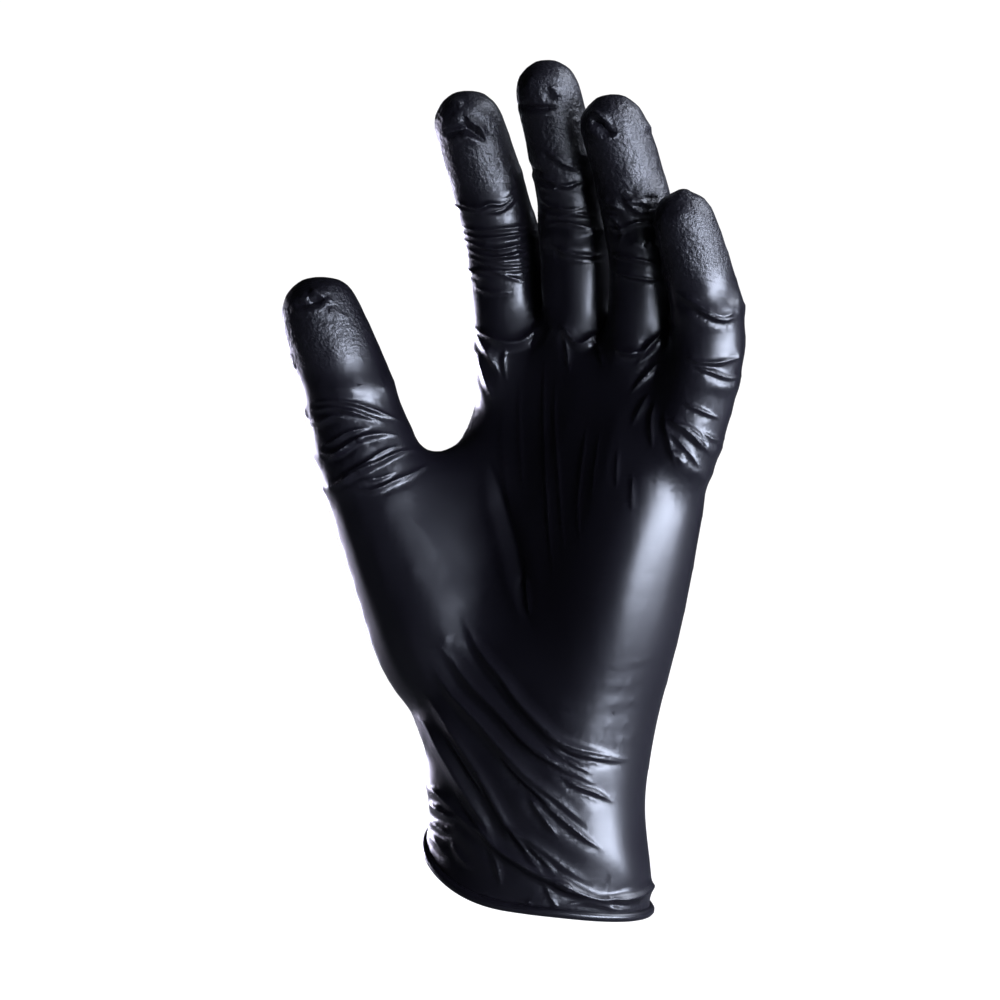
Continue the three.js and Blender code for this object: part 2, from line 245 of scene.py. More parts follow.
def rimTerms(points):
    # terms of the rim's height over a point (x, y): a tilted and waved ring
    angle = np.arctan2(points[:, 1], points[:, 0])
    return np.column_stack([
        np.ones(len(points)), points[:, 0], points[:, 1], np.cos(2 * angle), np.sin(2 * angle),
    ])


def straighten(points, rimFit, way):
    # way 1 brings the rim level at height 0, way -1 puts it back
    rim = rimTerms(points) @ rimFit
    moved = points.copy()
    if way > 0:
        moved[:, 2] -= rim * (1 - ease(points[:, 2], levelling["full"], levelling["none"]))
        return moved
    height = points[:, 2].copy()
    for _ in range(levelling["rounds"]):
        height = points[:, 2] + rim * (1 - ease(height, levelling["full"], levelling["none"]))
    moved[:, 2] = height
    return moved


def neighbourMean(points, edges):
    count = np.bincount(edges.ravel(), minlength=len(points))
    total = np.empty_like(points)
    for axis in range(3):
        total[:, axis] = np.bincount(edges[:, 0], points[edges[:, 1], axis], len(points))
        total[:, axis] += np.bincount(edges[:, 1], points[edges[:, 0], axis], len(points))
    return total / count[:, None]


def relax(points, edges, rounds):
    # evens out facets and keeps the size
    for _ in range(rounds):
        for step in (evening["push"], evening["pull"]):
            points = points + step * (neighbourMean(points, edges) - points)
    return points


def takeOuterSkin(piece):
    # keeps the outside of the CAD solid, and gives the points of its rim
    startEdit(piece, "EDGE")
    bpy.ops.mesh.remove_doubles(threshold=film["weld"])
    bpy.ops.mesh.select_all(action="DESELECT")
    shape = bmesh.from_edit_mesh(piece.data)
    rimAngle = math.radians(film["rimAngle"])
    for edge in shape.edges:
        low = max(vert.co.z for vert in edge.verts) < film["rimBand"]
        edge.select_set(low and edge.is_manifold and edge.calc_face_angle(0) > rimAngle)
    bmesh.update_edit_mesh(piece.data)
    bpy.ops.mesh.edge_split(type="EDGE")
    bpy.ops.mesh.select_all(action="DESELECT")
    bpy.ops.mesh.select_mode(type="VERT")
    shape = bmesh.from_edit_mesh(piece.data)
    max(shape.verts, key=lambda vert: vert.co.z).select_set(True)
    bmesh.update_edit_mesh(piece.data)
    bpy.ops.mesh.select_linked()
    bpy.ops.mesh.select_all(action="INVERT")
    bpy.ops.mesh.delete(type="VERT")
    bpy.ops.mesh.select_all(action="SELECT")
    bpy.ops.mesh.remove_doubles(threshold=film["weld"])
    shape = bmesh.from_edit_mesh(piece.data)
    rimPoints = np.array([vert.co for vert in shape.verts if vert.is_boundary])
    endEdit()
    return rimPoints


def addSkirt(piece):
    # a closed skirt in place of the rim, so that the film can be meshed as a solid
    startEdit(piece, "EDGE")
    bpy.ops.mesh.bisect(plane_co=(0, 0, film["skirtTop"]), plane_no=(0, 0, 1), clear_inner=True)
    bpy.ops.mesh.select_all(action="DESELECT")
    selectOpenEdges()
    bpy.ops.mesh.extrude_edges_move(TRANSFORM_OT_translate={"value": (0, 0, -film["skirt"])})
    bpy.ops.mesh.edge_face_add()
    endEdit()


def meshEvenly(piece):
    piece.data.remesh_voxel_size = film["voxel"]
    piece.data.remesh_voxel_adaptivity = 0
    piece.data.use_remesh_fix_poles = False
    bpy.ops.object.voxel_remesh()


def cutRim(piece):
    startEdit(piece, "EDGE")
    bpy.ops.mesh.bisect(plane_co=(0, 0, film["rimCut"]), plane_no=(0, 0, 1), clear_inner=True)
    bpy.ops.mesh.select_all(action="SELECT")
    bpy.ops.mesh.remove_doubles(threshold=film["rimWeld"])
    endEdit()


glove = bpy.data.objects.new("glove_film", frame["nodes"]["glove"].data.copy())
scene.collection.objects.link(glove)
rimPoints = takeOuterSkin(glove)
print("outer skin:", len(glove.data.vertices), "points, rim", len(rimPoints))

rimFit = np.linalg.lstsq(rimTerms(rimPoints), rimPoints[:, 2], rcond=None)[0]
rimMiss = np.abs(rimTerms(rimPoints) @ rimFit - rimPoints[:, 2]).max()
print("rim fit", np.round(rimFit, 4), "largest miss in mm", rimMiss / mm)
level = straighten(pointsOf(glove), rimFit, 1)
setPoints(glove, moveFingers(level, normalsOf(glove), 1))
addSkirt(glove)
meshEvenly(glove)
print("meshed film:", len(glove.data.polygons), "faces")
setPoints(glove, relax(pointsOf(glove), edgesOf(glove), film["relaxRounds"]))
cutRim(glove)
together = moveFingers(pointsOf(glove), normalsOf(glove), -1)
setPoints(glove, straighten(together, rimFit, -1))
print("film:", len(glove.data.polygons), "faces")

# Folds: rise in mm, width in pixels, path in the picture in pixels.
# A path that is walked from left to right has its deeper trough below it.
folds = {
    "wrist": [
        (1.15, 7, [(460, 612), (474, 641), (487, 660), (504, 680), (519, 701), (537, 721),
            (554, 738), (574, 748), (600, 754), (622, 759), (640, 758)]),
        (0.45, 2.5, [(554, 743), (574, 753), (600, 759), (626, 763)]),
        (1.05, 7, [(432, 636), (456, 666), (474, 688), (493, 706), (511, 725), (530, 743),
            (548, 756), (567, 767), (585, 779), (606, 792)]),
        (0.5, 3, [(500, 717), (518, 736), (537, 753), (556, 765), (580, 781)]),
        (0.6, 3.5, [(541, 742), (557, 753), (574, 764), (594, 775)]),
        (0.65, 3.5, [(558, 775), (578, 786), (596, 793), (617, 804)]),
        (1.15, 7, [(428, 660), (448, 690), (465, 708), (483, 727), (500, 747), (515, 764),
            (530, 779), (544, 790), (561, 803), (576, 816), (594, 830)]),
        (0.55, 3, [(496, 750), (512, 769), (530, 787), (548, 802), (566, 817)]),
        (0.7, 4, [(528, 783), (548, 806), (567, 823), (585, 838), (608, 853)]),
        (0.6, 4, [(526, 791), (541, 814), (561, 841)]),
        (1.0, 7, [(416, 682), (437, 710), (454, 736), (470, 760), (487, 788), (500, 812),
            (511, 829), (530, 841), (548, 854), (567, 869), (600, 891)]),
        (0.55, 3, [(440, 726), (458, 754), (474, 780), (488, 804)]),
        (1.1, 7, [(412, 708), (428, 729), (441, 751), (454, 773), (469, 797), (481, 817),
            (494, 840), (513, 861)]),
        (0.5, 3, [(452, 788), (468, 812), (484, 832), (498, 846)]),
        (0.7, 4, [(508, 824), (526, 851), (546, 878)]),
        (0.6, 4, [(524, 841), (541, 858), (561, 879)]),
        (0.7, 5, [(428, 786), (440, 796), (458, 812)]),
        (0.7, 5, [(428, 802), (442, 812), (462, 822)]),
        (0.6, 4, [(430, 820), (440, 828), (454, 836)]),
        (0.14, 4, [(548, 697), (576, 708), (622, 704), (654, 696)]),
        (0.1, 3, [(560, 722), (590, 727), (622, 724), (650, 720)]),
        (0.08, 3, [(590, 690), (620, 686), (656, 676)]),
        (0.08, 3, [(600, 668), (632, 664), (664, 652)]),
        (0.08, 3, [(596, 738), (624, 742), (652, 738)]),
    ],
    "cuff": [
        (1.3, 6, [(438, 796), (461, 817), (480, 832), (496, 847), (515, 860), (537, 873),
            (557, 882), (578, 892), (600, 899), (622, 899), (641, 895), (656, 884)]),
        (1.2, 6, [(606, 897), (626, 898), (643, 893), (658, 880), (664, 874)]),
        (0.5, 4, [(486, 846), (497, 866), (502, 890)]),
        (0.35, 3, [(541, 880), (552, 899), (562, 915)]),
        (0.6, 5, [(560, 906), (585, 903), (622, 909), (650, 906)]),
        (0.5, 3, [(528, 900), (530, 908), (530, 917)]),
        (0.6, 5, [(432, 834), (440, 846), (450, 860)]),
        (0.4, 4, [(450, 838), (460, 856), (476, 872)]),
    ],
    "palm": [
        (0.34, 3, [(546, 352), (544, 390), (546, 476), (550, 540), (554, 592)]),
        (0.3, 3, [(556, 366), (555, 420), (560, 493), (565, 570)]),
        (0.34, 3, [(588, 420), (584, 450), (578, 509), (582, 552)]),
        (0.26, 3, [(600, 428), (596, 460), (590, 508)]),
        (0.28, 3, [(618, 446), (617, 470), (616, 492)]),
        (0.26, 3, [(633, 470), (632, 490), (631, 516)]),
        (0.6, 4, [(524, 570), (526, 590), (530, 622)]),
        (0.15, 4, [(506, 380), (502, 430), (508, 500), (518, 548)]),
        (0.2, 3, [(520, 372), (520, 440), (526, 520)]),
        (-1.0, 9, [(486, 452), (502, 500), (516, 552), (526, 604), (534, 640)]),
    ],
    # film drawn over the slot between forefinger and middle finger
    "between": [
        (1.3, 9, [(538, 192), (543, 240), (547, 290), (549, 345)]),
    ],
    "index": [
        (-1.2, 5, [(440, 130), (452, 132), (466, 129), (482, 138), (487, 148)]),
        (0.9, 4, [(463, 112), (470, 120), (480, 128), (489, 142)]),
        (0.8, 5, [(448, 104), (457, 103), (464, 108)]),
        (0.6, 3, [(452, 200), (468, 206), (480, 208), (490, 204), (504, 203), (520, 188)]),
        (0.5, 3, [(486, 214), (494, 212), (506, 207), (521, 190)]),
        (0.5, 3, [(452, 204), (468, 211), (487, 214)]),
        (0.45, 3, [(455, 222), (470, 229), (490, 230), (520, 227), (538, 222)]),
        (0.5, 3, [(458, 231), (478, 238), (500, 237), (526, 233), (541, 229)]),
        (0.55, 3, [(460, 239), (491, 249), (512, 247), (540, 239)]),
        (0.5, 3, [(462, 247), (486, 256), (510, 256), (542, 248)]),
        (0.4, 3, [(464, 256), (488, 262), (520, 264), (544, 258)]),
        (0.5, 3, [(476, 260), (498, 270), (518, 270), (540, 266)]),
        (0.5, 3, [(466, 270), (486, 271), (504, 275), (532, 285)]),
        (0.45, 3, [(467, 268), (476, 274), (490, 279)]),
        (0.4, 3, [(472, 286), (490, 292), (516, 292)]),
        (1.0, 6, [(472, 325), (484, 334), (504, 342), (522, 341), (536, 330), (548, 313)]),
        (0.7, 4, [(474, 331), (486, 350), (502, 378)]),
        (0.6, 4, [(477, 350), (484, 374), (493, 402)]),
        (0.4, 3, [(506, 344), (504, 362), (507, 384)]),
    ],
    "middle": [
        (-1.0, 4, [(515, 103), (528, 107), (545, 108), (562, 106)]),
        (0.8, 5, [(548, 84), (556, 92), (560, 102)]),
        (0.7, 4, [(540, 146), (552, 154), (566, 164), (583, 172)]),
        (-0.6, 4, [(524, 160), (530, 168), (546, 174)]),
        (0.7, 3, [(530, 172), (550, 180), (564, 186), (574, 184), (588, 178)]),
        (0.5, 3, [(534, 182), (548, 188), (564, 188)]),
        (0.5, 3, [(537, 196), (552, 206), (570, 210), (590, 205)]),
        (0.5, 3, [(541, 212), (556, 216), (576, 214), (600, 218)]),
        (0.4, 3, [(544, 226), (560, 222), (580, 226), (602, 230)]),
        (0.7, 4, [(550, 243), (566, 252), (588, 256), (608, 254)]),
        (0.4, 3, [(551, 250), (566, 258), (584, 262), (604, 262)]),
        (0.9, 5, [(560, 322), (570, 336), (580, 344), (592, 338), (607, 327)]),
        (0.5, 3, [(562, 330), (567, 350), (570, 376)]),
        (0.4, 3, [(590, 334), (600, 350), (604, 372)]),
    ],
    "ring": [
        (-1.4, 5, [(586, 118), (598, 124), (608, 132), (620, 131)]),
        (0.8, 4, [(588, 112), (598, 114), (612, 124)]),
        (0.4, 5, [(640, 122), (650, 128), (656, 132)]),
        (-0.6, 4, [(622, 190), (644, 197), (666, 198)]),
        (0.7, 4, [(598, 196), (610, 203), (626, 212)]),
        (0.6, 4, [(620, 190), (628, 202), (642, 212), (662, 208)]),
        (0.5, 3, [(602, 212), (614, 218), (622, 232), (618, 246)]),
        (0.4, 3, [(606, 222), (618, 230), (640, 222), (660, 228)]),
        (0.7, 3, [(608, 253), (630, 258), (658, 264)]),
        (0.6, 3, [(610, 270), (630, 276), (664, 282)]),
        (0.9, 5, [(612, 344), (622, 352), (640, 352), (652, 344), (666, 326)]),
        (0.6, 4, [(655, 336), (646, 352), (634, 368)]),
        (0.7, 4, [(664, 358), (648, 374), (628, 396)]),
        (0.5, 4, [(650, 392), (640, 410), (630, 430)]),
        (0.6, 4, [(656, 400), (652, 420), (652, 452)]),
        (0.5, 4, [(664, 408), (668, 436), (677, 470)]),
    ],
    "little": [
        (0.5, 5, [(676, 196), (684, 192), (692, 196)]),
        (0.6, 5, [(672, 290), (690, 300), (708, 310), (724, 316), (740, 311)]),
        (0.5, 3, [(690, 306), (706, 314), (722, 320), (740, 318)]),
        (0.5, 3, [(680, 356), (700, 362), (720, 362), (746, 356)]),
        (0.5, 3, [(688, 364), (712, 372), (730, 378), (747, 374)]),
        (0.4, 3, [(680, 402), (700, 410), (722, 420)]),
        (0.55, 4, [(662, 416), (680, 426), (696, 438), (714, 458)]),
        (0.4, 4, [(662, 426), (678, 440), (692, 456), (704, 474)]),
        (0.35, 3, [(672, 420), (694, 430), (712, 446)]),
        (0.3, 3, [(700, 430), (716, 440), (730, 436)]),
    ],
    "thumb": [
        (-1.0, 5, [(288, 300), (304, 304), (318, 300), (334, 294)]),
        (0.8, 5, [(308, 286), (316, 293), (328, 300), (338, 306)]),
        (0.4, 5, [(326, 306), (336, 312), (348, 318)]),
        (0.5, 4, [(289, 350), (292, 362), (296, 372)]),
        (0.5, 3, [(303, 404), (318, 402), (337, 401), (357, 404), (384, 414), (409, 424)]),
        (0.5, 3, [(304, 413), (316, 410), (336, 408), (360, 414), (388, 424)]),
        (0.6, 4, [(306, 420), (318, 422), (334, 416), (352, 422)]),
        (0.7, 4, [(316, 462), (330, 458), (342, 449), (361, 438), (382, 434), (404, 436)]),
        (0.5, 3, [(318, 446), (332, 442), (350, 432), (376, 426)]),
        (0.6, 4, [(318, 454), (336, 452), (356, 446)]),
        (0.8, 4, [(322, 490), (336, 484), (352, 474), (375, 463), (400, 452), (424, 450)]),
        (0.5, 3, [(336, 478), (360, 466), (386, 450), (410, 444)]),
        (0.5, 4, [(350, 488), (373, 490), (392, 482), (411, 474), (436, 461)]),
        (0.4, 3, [(360, 480), (380, 478), (400, 470)]),
    ],
}
# The back of the glove, which the picture doesn't show: film drawn tight over the knuckles
backFolds = [
    (0.35, 7, [(700, 420), (690, 400), (672, 392)]),
    (0.4, 7, [(466, 252), (500, 243), (538, 250)]),
    (0.45, 7, [(470, 270), (504, 264), (540, 268)]),
    (0.35, 7, [(474, 290), (506, 284), (542, 288)]),
    (0.4, 7, [(548, 236), (574, 228), (604, 236)]),
    (0.45, 7, [(550, 254), (578, 248), (606, 254)]),
    (0.35, 7, [(552, 274), (580, 268), (608, 274)]),
    (0.4, 7, [(610, 262), (636, 254), (664, 262)]),
    (0.45, 7, [(612, 280), (638, 274), (666, 280)]),
    (0.4, 7, [(684, 326), (712, 318), (742, 328)]),
    (0.4, 7, [(688, 346), (716, 340), (746, 346)]),
    (0.4, 7, [(452, 182), (480, 175), (510, 184)]),
    (0.4, 7, [(526, 154), (552, 146), (582, 156)]),
    (0.4, 7, [(596, 172), (622, 166), (652, 176)]),
    (0.4, 7, [(676, 246), (700, 240), (726, 250)]),
    (0.45, 8, [(302, 392), (336, 382), (384, 396)]),
    (0.5, 8, [(306, 416), (342, 408), (396, 422)]),
    (0.4, 8, [(312, 440), (346, 434), (398, 446)]),
    (0.7, 11, [(650, 752), (600, 776), (540, 778), (480, 756), (430, 726)]),
    (0.8, 10, [(652, 782), (600, 806), (540, 808), (480, 788), (434, 762)]),
    (0.8, 10, [(650, 816), (600, 838), (540, 842), (486, 824), (436, 798)]),
    (0.5, 9, [(648, 716), (600, 730), (548, 744)]),
]
# The film drawn over the hand: hollows are bridged, then the folds are raised. The wrist is
# evened out between these heights over the rim.
tension = {
    "rounds": 36,
    "share": 0.7,
    "most": 3.0 * mm,
    "wristRounds": 26,
    "wristFrom": (4 * mm, 12 * mm),
    "wristTo": (62 * mm, 80 * mm),
}
# Cross shape of a fold: a narrow crest, a deep trough on its lower side, a faint one above. The
# fold swells up to start and fades from end, as shares of its length.
foldForm = {
    "peak": 0.5,
    "peakWidth": 0.45,
    "trough": 0.5,
    "farTrough": 0.12,
    "troughPlace": 1.6,
    "troughWidth": 0.8,
    "start": 0.3,
    "end": 0.6,
    "slimmest": 0.5,
    "reach": 4,
    "nearWidth": 1.9,
    "nearSteepness": 9,
    "leastFade": 0.02,
    "step": 1.5,
}
# How far a point has to face the camera, or away from it, for the folds to start and be full
foldSides = {"front": (-0.3, 0.12), "back": (-0.1, 0.3)}
# Faces turned away more than facingCoarse, or closer to the rim than rimFree, stay coarse
detail = {
    "facingCoarse": -0.3,
    "rimFree": 3.2 * mm,
    "mostTriangles": 192000,
    "sharpest": 96,
    "settleRounds": 10,
    "settleStep": 0.6,
}
# Faces this near to a fold, and turned this far to the camera, are split once more at each level
fineLevels = [{"near": 0.35, "facing": -1.1}, {"near": 0.7, "facing": -0.2}]


def rimLoopOf(piece):
    # points on the film's open edge
    shape = bmesh.new()
    shape.from_mesh(piece.data)
    loop = np.array([vert.index for vert in shape.verts if vert.is_boundary], int)
    shape.free()
    return loop


def overRimOf(piece):
    points = pointsOf(piece)
    return points[:, 2] - rimTerms(points) @ rimFit


def tighten(piece):
    # the film stands off hollow corners, as stretched film does
    start = pointsOf(piece)
    points = start.copy()
    edges = edgesOf(piece)
    rim = np.isin(np.arange(len(points)), rimLoopOf(piece))
    for _ in range(tension["rounds"]):
        normals = normalsOf(piece)
        out = np.einsum("ij,ij->i", neighbourMean(points, edges) - points, normals)
        out[rim] = 0
        points = points + tension["share"] * np.maximum(out, 0)[:, None] * normals
        away = points - start
        far = np.linalg.norm(away, axis=1)
        limit = np.minimum(1, tension["most"] / np.maximum(far, 1e-9))
        points = start + away * limit[:, None]
        setPoints(piece, points)


def evenOutWrist(piece):
    evened = relax(pointsOf(piece), edgesOf(piece), tension["wristRounds"])
    overRim = overRimOf(piece)
    share = ease(overRim, *tension["wristFrom"]) * (1 - ease(overRim, *tension["wristTo"]))
    setPoints(piece, pointsOf(piece) * (1 - share[:, None]) + evened * share[:, None])


def splineThrough(path):
    # even points along a smooth curve through the path
    path = np.array(path, float)
    ends = np.vstack([2 * path[0] - path[1], path, 2 * path[-1] - path[-2]])
    spots = []
    for before, start, stop, after in zip(ends, ends[1:], ends[2:], ends[3:]):
        count = max(2, int(np.linalg.norm(stop - start) / foldForm["step"]))
        share = (np.arange(count) / count)[:, None]
        spots.append(0.5 * (
            2 * start + (stop - before) * share
            + (2 * before - 5 * start + 4 * stop - after) * share ** 2
            + (3 * start - before - 3 * stop + after) * share ** 3
        ))
    return np.vstack(spots + [path[-1:]])


def foldHeight(seen, rows):
    # height of the folds at points of the picture, in metres, and how close a fold is
    height = np.zeros(len(seen))
    near = np.zeros(len(seen))
    for rise, wide, path in rows:
        line = splineThrough(path)
        reach = foldForm["reach"] * wide
        low, high = line.min(0) - reach, line.max(0) + reach
        close = np.where(((seen > low) & (seen < high)).all(1))[0]
        if len(close) == 0:
            continue
        gaps = np.linalg.norm(seen[close, None] - line[None], axis=2)
        spot = gaps.argmin(1)
        way = np.gradient(line, axis=0)[spot]
        way /= np.linalg.norm(way, axis=1)[:, None]
        off = seen[close] - line[spot]
        side = np.sign(way[:, 0] * off[:, 1] - way[:, 1] * off[:, 0])
        along = spot / (len(line) - 1)
        fade = ease(along, 0, foldForm["start"]) * (1 - ease(along, foldForm["end"], 1))
        slim = wide * (foldForm["slimmest"] + (1 - foldForm["slimmest"]) * fade)
        away = gaps[np.arange(len(close)), spot] / slim
        crest = (1 - foldForm["peak"]) * np.exp(-away ** 2)
        crest += foldForm["peak"] * np.exp(-(away / foldForm["peakWidth"]) ** 2)
        trough = np.exp(-((away - foldForm["troughPlace"]) / foldForm["troughWidth"]) ** 2)
        depth = np.where(side > 0, foldForm["trough"], foldForm["farTrough"])
        height[close] += rise * mm * fade * (crest - depth * trough)
        steepness = min(1, abs(rise) / wide * foldForm["nearSteepness"])
        tight = np.exp(-(away / foldForm["nearWidth"]) ** 2) * (fade > foldForm["leastFade"]) * steepness
        near[close] = np.maximum(near[close], tight)
    return height, near


def allFolds(piece):
    # height of the folds at each point, how close a fold is, and how far the point faces the camera
    points = pointsOf(piece)
    seen = pictureOf(points)
    toCamera = np.array(cameraSetup["place"]) - points
    toCamera /= np.linalg.norm(toCamera, axis=1)[:, None]
    facing = np.einsum("ij,ij->i", normalsOf(piece), toCamera)
    frontShare = ease(facing, *foldSides["front"])
    backShare = ease(-facing, *foldSides["back"])
    height = np.zeros(len(points))
    near = np.zeros(len(points))
    for rows, share in [(rows, frontShare) for rows in folds.values()] + [(backFolds, backShare)]:
        more, close = foldHeight(seen, rows)
        height += more * share
        near = np.maximum(near, close * share)
    return height, near, facing


def faceMean(piece, values):
    # mean of a value over each face's corners
    counts = np.empty(len(piece.data.polygons), int)
    piece.data.polygons.foreach_get("loop_total", counts)
    corners = np.empty(len(piece.data.loops), int)
    piece.data.loops.foreach_get("vertex_index", corners)
    owner = np.repeat(np.arange(len(counts)), counts)
    return np.bincount(owner, values[corners], len(counts)) / counts


def refine(piece, chosen):
    # splits the chosen faces, apart from those next to the rim
    chosen = chosen & (faceMean(piece, overRimOf(piece)) > detail["rimFree"])
    startEdit(piece, "FACE", "DESELECT")
    endEdit()
    piece.data.polygons.foreach_set("select", chosen)
    bpy.ops.object.mode_set(mode="EDIT")
    bpy.ops.mesh.subdivide(number_cuts=1, smoothness=0)
    endEdit()


def smoothKeepingRim(piece, rounds):
    points = relax(pointsOf(piece), edgesOf(piece), rounds)
    keep = rimLoopOf(piece)
    points[keep] = pointsOf(piece)[keep]
    setPoints(piece, points)


def settleSharpFolds(piece):
    # points where the film has folded onto itself are drawn level with their neighbours
    shape = bmesh.new()
    shape.from_mesh(piece.data)
    sharpest = math.radians(detail["sharpest"])
    for _ in range(detail["settleRounds"]):
        sharp = [edge for edge in shape.edges if edge.is_manifold and edge.calc_face_angle(0) > sharpest]
        picked = list(dict.fromkeys(vert for edge in sharp for vert in edge.verts))
        if not picked:
            break
        bmesh.ops.smooth_vert(
            shape, verts=picked, factor=detail["settleStep"],
            use_axis_x=True, use_axis_y=True, use_axis_z=True)
    print("sharp folds before the last round:", len(sharp))
    shape.to_mesh(piece.data)
    shape.free()


tighten(glove)
evenOutWrist(glove)
lining = glove.copy()
lining.data = glove.data.copy()
scene.collection.objects.link(lining)

facing = allFolds(glove)[2]
refine(glove, faceMean(glove, facing) > detail["facingCoarse"])
smoothKeepingRim(glove, 2)
for fine in fineLevels:
    near, facing = allFolds(glove)[1:]
    refine(glove, (faceMean(glove, near) > fine["near"]) & (faceMean(glove, facing) > fine["facing"]))
    print("finer film:", len(glove.data.polygons), "faces")

# Lining, rim and rolled bead. The lining takes a share of the folds.
liningFolds = 0.6
bead = {"radius": 1.25 * mm, "steps": 150, "sides": 3, "smoothRounds": 3}


def raiseFolds(piece, share):
    height = allFolds(piece)[0]
    setPoints(piece, pointsOf(piece) + normalsOf(piece) * height[:, None] * share)


def evenRing(piece):
    # even points along the film's open edge, smoothed
    places = pointsOf(piece)[rimLoopOf(piece)]
    middle = places.mean(0)
    places = places[np.argsort(np.arctan2(places[:, 1] - middle[1], places[:, 0] - middle[0]))]
    ring = np.vstack([places, places[:1]])
    length = np.concatenate([[0], np.cumsum(np.linalg.norm(np.diff(ring, axis=0), axis=1))])
    evenLength = np.linspace(0, length[-1], bead["steps"], endpoint=False)
    ring = np.column_stack([np.interp(evenLength, length, ring[:, axis]) for axis in range(3)])
    for _ in range(bead["smoothRounds"]):
        ring = (np.roll(ring, 1, axis=0) + 2 * ring + np.roll(ring, -1, axis=0)) / 4
    return ring


def makeRoll(ring):
    rollData = bpy.data.curves.new("bead_path", "CURVE")
    rollData.dimensions = "3D"
    rollLine = rollData.splines.new("POLY")
    rollLine.points.add(bead["steps"] - 1)
    for spot, place in zip(rollLine.points, ring):
        spot.co = (*place, 1)
    rollLine.use_cyclic_u = True
    rollData.bevel_depth = bead["radius"]
    rollData.bevel_resolution = bead["sides"]
    roll = bpy.data.objects.new("bead_roll", rollData)
    scene.collection.objects.link(roll)
    pickOnly(roll)
    bpy.ops.object.convert(target="MESH")
    return bpy.context.object


raiseFolds(glove, 1)
raiseFolds(lining, liningFolds)
ring = evenRing(glove)
setPoints(lining, pointsOf(lining) - normalsOf(lining) * film["wall"])
startEdit(lining, "FACE")
bpy.ops.mesh.flip_normals()
endEdit()

joinTo(glove, lining)
startEdit(glove, "EDGE", "DESELECT")
selectOpenEdges()
bpy.ops.mesh.bridge_edge_loops()
endEdit()
joinTo(glove, makeRoll(ring))
startEdit(glove, "EDGE")
bpy.ops.mesh.quads_convert_to_tris(quad_method="BEAUTY", ngon_method="BEAUTY")
endEdit()
thin = glove.modifiers.new("thin_flat_parts", "DECIMATE")
thin.ratio = min(1, detail["mostTriangles"] / len(glove.data.polygons))
bpy.ops.object.modifier_apply(modifier=thin.name)
settleSharpFolds(glove)
for polygon in glove.data.polygons:
    polygon.use_smooth = True
print("glove:", len(glove.data.polygons), "triangles")

# Floor and studio
studio = {
    "floorDrop": 60 * mm,
    "floorRadius": 6.0,
    "floorSides": 96,
    "floorColour": (0.12, 0.12, 0.125, 1),
    "floorRoughness": 0.9,
    "floorShine": 0.1,
    "white": (1, 1, 1, 1),
    "whiteGlow": 1.05,
    "airColour": (0.9, 0.92, 1, 1),
    "airStrength": 0.008,
    "aim": (0.0, -0.01, 0.1),
    "lampDistance": 1.25,
}
# Softboxes: turn is the angle from the camera's side to the right, lift the angle upwards, in
# degrees; wide and tall in metres; power in watts.
lamps = {
    "right": {"turn": 50, "lift": -11, "wide": 1.4, "tall": 0.7, "power": 172, "tint": (0.74, 0.81, 1)},
    "low_right": {"turn": 68, "lift": -28, "wide": 1.2, "tall": 0.7, "power": 92, "tint": (0.74, 0.81, 1)},
    "low_front": {"turn": 8, "lift": -30, "wide": 0.5, "tall": 0.4, "power": 4, "tint": (0.78, 0.78, 1)},
    "high_right": {"turn": 90, "lift": 40, "wide": 0.7, "tall": 0.6, "power": 24, "tint": (0.78, 0.84, 1)},
    "left_front": {"turn": -84, "lift": -22, "wide": 0.8, "tall": 0.5, "power": 9, "tint": (0.8, 0.77, 1)},
    "left": {"turn": -112, "lift": -24, "wide": 0.8, "tall": 0.5, "power": 26, "tint": (0.8, 0.76, 1)},
    "left_back": {"turn": -148, "lift": -10, "wide": 0.8, "tall": 0.6, "power": 38, "tint": (0.8, 0.76, 1)},
    "back": {"turn": -160, "lift": -6, "wide": 0.75, "tall": 0.6, "power": 8, "tint": (0.8, 0.8, 1)},
}


def makeFloor():
    bpy.ops.object.select_all(action="DESELECT")
    floorHeight = cadBounds[0][2] - studio["floorDrop"]
    bpy.ops.mesh.primitive_circle_add(
        vertices=studio["floorSides"], radius=studio["floorRadius"], fill_type="NGON",
        location=(0, 0, floorHeight))
    floor = bpy.context.object
    floor.name = "studio_floor"
    floorMaterial = bpy.data.materials.new("pale_floor")
    floorMaterial.use_nodes = True
    floorNodes = floorMaterial.node_tree.nodes
    floorShader = floorNodes["Principled BSDF"]
    floorShader.inputs["Base Color"].default_value = studio["floorColour"]
    floorShader.inputs["Roughness"].default_value = studio["floorRoughness"]
    floorShader.inputs["Specular IOR Level"].default_value = studio["floorShine"]
    floorShader.inputs["Emission Color"].default_value = studio["white"]
    floorSeen = floorNodes.new("ShaderNodeLightPath")
    floorGlow = floorNodes.new("ShaderNodeMath")
    floorGlow.operation = "MULTIPLY"
    floorGlow.inputs[1].default_value = studio["whiteGlow"]
    floorMaterial.node_tree.links.new(floorSeen.outputs["Is Camera Ray"], floorGlow.inputs[0])
    floorMaterial.node_tree.links.new(floorGlow.outputs[0], floorShader.inputs["Emission Strength"])
    floor.data.materials.append(floorMaterial)
    bpy.ops.object.transform_apply(location=True, rotation=True, scale=True)


